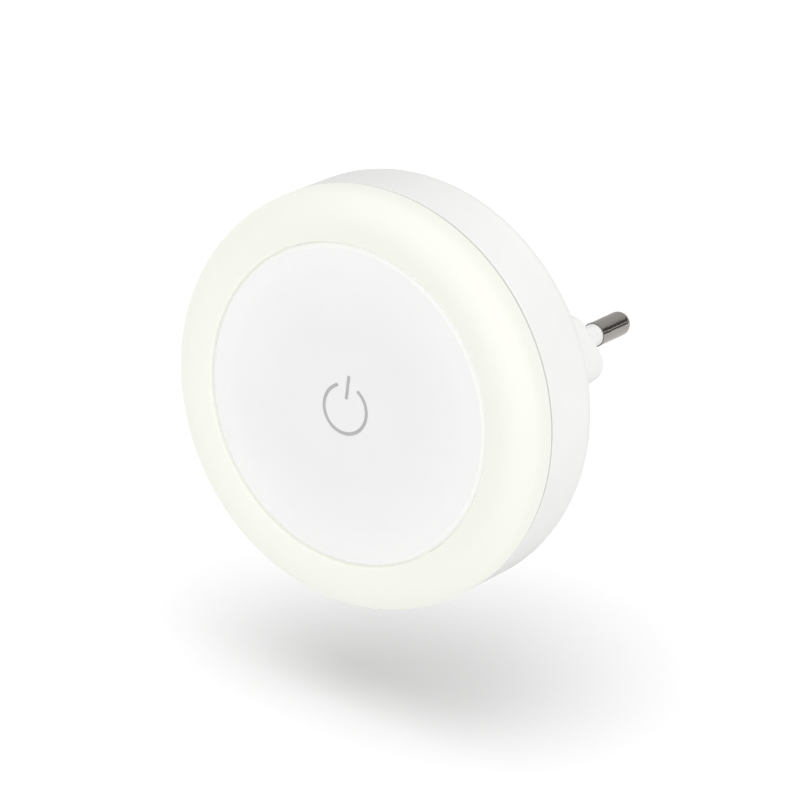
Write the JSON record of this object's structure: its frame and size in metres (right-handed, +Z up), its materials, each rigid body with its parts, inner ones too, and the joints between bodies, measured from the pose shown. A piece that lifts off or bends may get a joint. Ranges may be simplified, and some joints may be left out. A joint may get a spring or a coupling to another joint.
{
  "type": "plug-in night light",
  "caption": "Round plug-in night light: glowing ring round a springy press plate with a standby symbol, on a two-pin Europlug body.",
  "frame": {"origin": "centre of the plug's end face, between the two pins, where the plug meets the wall socket", "axes": "+Y along the pins into the wall, -Y out into the room, +Z up, +X to the right as seen from the room; the pins lie side by side along X"},
  "size_m": [0.0652, 0.0645, 0.0652],
  "materials": {
    "housing_white": "smooth satin moulded ABS, neutral white",
    "opal_diffuser": "opal light-diffusing plastic, faintly warm white, satin",
    "frame_white": "high-reflectance white moulding",
    "plate_white": "fine satin white moulding",
    "symbol_grey": "mid grey inlay, flush and satin",
    "board_white": "white solder mask on glass-fibre board",
    "switch_black": "black switch moulding",
    "plunger_white": "white switch plunger",
    "pin_nickel": "nickel-plated brass, lightly drawn along its length",
    "sleeve_white": "white insulating sleeve",
    "strip_brass": "plain rolled brass strip",
    "capacitor_yellow": "yellow boxed film capacitor",
    "capacitor_black": "black shrink sleeve",
    "resistor_blue": "painted fusible resistor body",
    "chip_black": "moulded black component body",
    "screw_steel": "zinc-plated pan-head screws",
    "led_phosphor": "white LED package with yellow phosphor",
    "spring_steel": "spring wire, bright"
  },
  "bodies": {
    "housing": {"rear_housing": "housing_white", "diffuser_ring": "opal_diffuser", "light_frame": "frame_white", "led_board": "board_white", "switch_body": "switch_black", "plug_pin_left": "pin_nickel", "plug_pin_right": "pin_nickel", "pin_sleeve_left": "sleeve_white", "pin_sleeve_right": "sleeve_white", "pin_clamp": "frame_white", "contact_strip_left": "strip_brass", "contact_strip_right": "strip_brass", "film_capacitor": "capacitor_yellow", "electrolytic_capacitor": "capacitor_black", "fusible_resistor": "resistor_blue", "bridge_rectifier": "chip_black", "controller_ic": "chip_black", "bleed_resistors": "chip_black", "surge_diode": "chip_black", "board_screws": "screw_steel", "clamp_screws": "screw_steel", "led_1": "led_phosphor", "led_2": "led_phosphor", "led_3": "led_phosphor", "led_4": "led_phosphor", "led_5": "led_phosphor", "led_6": "led_phosphor", "led_7": "led_phosphor", "led_8": "led_phosphor", "return_spring_1": "spring_steel", "return_spring_2": "spring_steel", "return_spring_3": "spring_steel"},
    "press_plate": {"press_plate": "plate_white", "power_symbol": "symbol_grey"},
    "switch_plunger": {"switch_plunger": "plunger_white"}
  },
  "joints": [
    {"name": "plate_press", "type": "slide", "parent": "housing", "child": "press_plate", "axis": [0, 1, 0], "range_m": [0, 0.0008], "stiffness_N_per_m": 900, "springref_m": -0.0012, "deforming": ["return_spring_1", "return_spring_2", "return_spring_3"]},
    {"name": "plunger_travel", "type": "slide", "parent": "housing", "child": "switch_plunger", "axis": [0, 1, 0], "range_m": [0, 0.0008]}
  ],
  "couplings": [
    {"joint": "plunger_travel", "follows": "plate_press", "ratio": 1}
  ]
}
